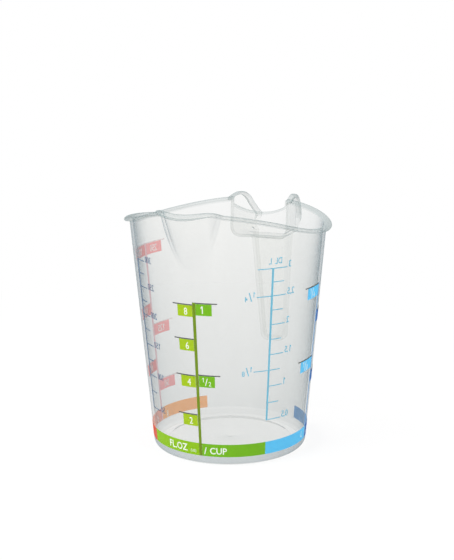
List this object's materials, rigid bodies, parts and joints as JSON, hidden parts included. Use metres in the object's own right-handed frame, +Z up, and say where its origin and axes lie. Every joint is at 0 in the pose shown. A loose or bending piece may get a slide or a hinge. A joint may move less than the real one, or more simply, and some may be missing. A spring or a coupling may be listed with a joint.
{
  "type": "measuring cup",
  "caption": "Clear plastic measuring cup with a pouring spout, a flanged wavy rim, a hooked channel handle and coloured printed scales.",
  "frame": {"origin": "centre of the foot ring, on the cup's axis, in the plane the cup stands on", "axes": "+Z up along the cup's axis, spout towards -Y, handle towards +Y"},
  "size_m": [0.0854, 0.1173, 0.1059],
  "materials": {
    "clear_plastic": "see-through, faintly frosted moulding",
    "lime_ink": "printed ink",
    "green_ink": "printed ink",
    "sky_ink": "printed ink",
    "blue_ink": "printed ink",
    "stem_blue_ink": "printed ink",
    "red_ink": "printed ink",
    "orange_ink": "printed ink",
    "coral_ink": "printed ink",
    "stem_red_ink": "printed ink",
    "olive_ink": "printed ink",
    "dark_ink": "printed ink",
    "maroon_ink": "printed ink",
    "ruler_blue_ink": "printed ink",
    "ruler_grey_ink": "printed ink"
  },
  "bodies": {
    "root": {"cup_body": "clear_plastic", "handle": "clear_plastic", "ounce_band": "lime_ink", "cup_band": "green_ink", "litre_band": "sky_ink", "decilitre_band": "blue_ink", "flour_band": "red_ink", "sugar_band": "orange_ink", "ounce_cup_stem": "olive_ink", "ounce_flags": "lime_ink", "cup_flags": "green_ink", "ounce_cup_lines": "dark_ink", "litre_stem": "stem_blue_ink", "litre_flags": "sky_ink", "decilitre_flags": "blue_ink", "litre_lines": "dark_ink", "gram_stem": "stem_red_ink", "flour_flags": "red_ink", "sugar_flags": "coral_ink", "gram_lines": "maroon_ink", "decilitre_ruler": "ruler_blue_ink", "millilitre_ruler": "ruler_grey_ink"}
  },
  "joints": []
}
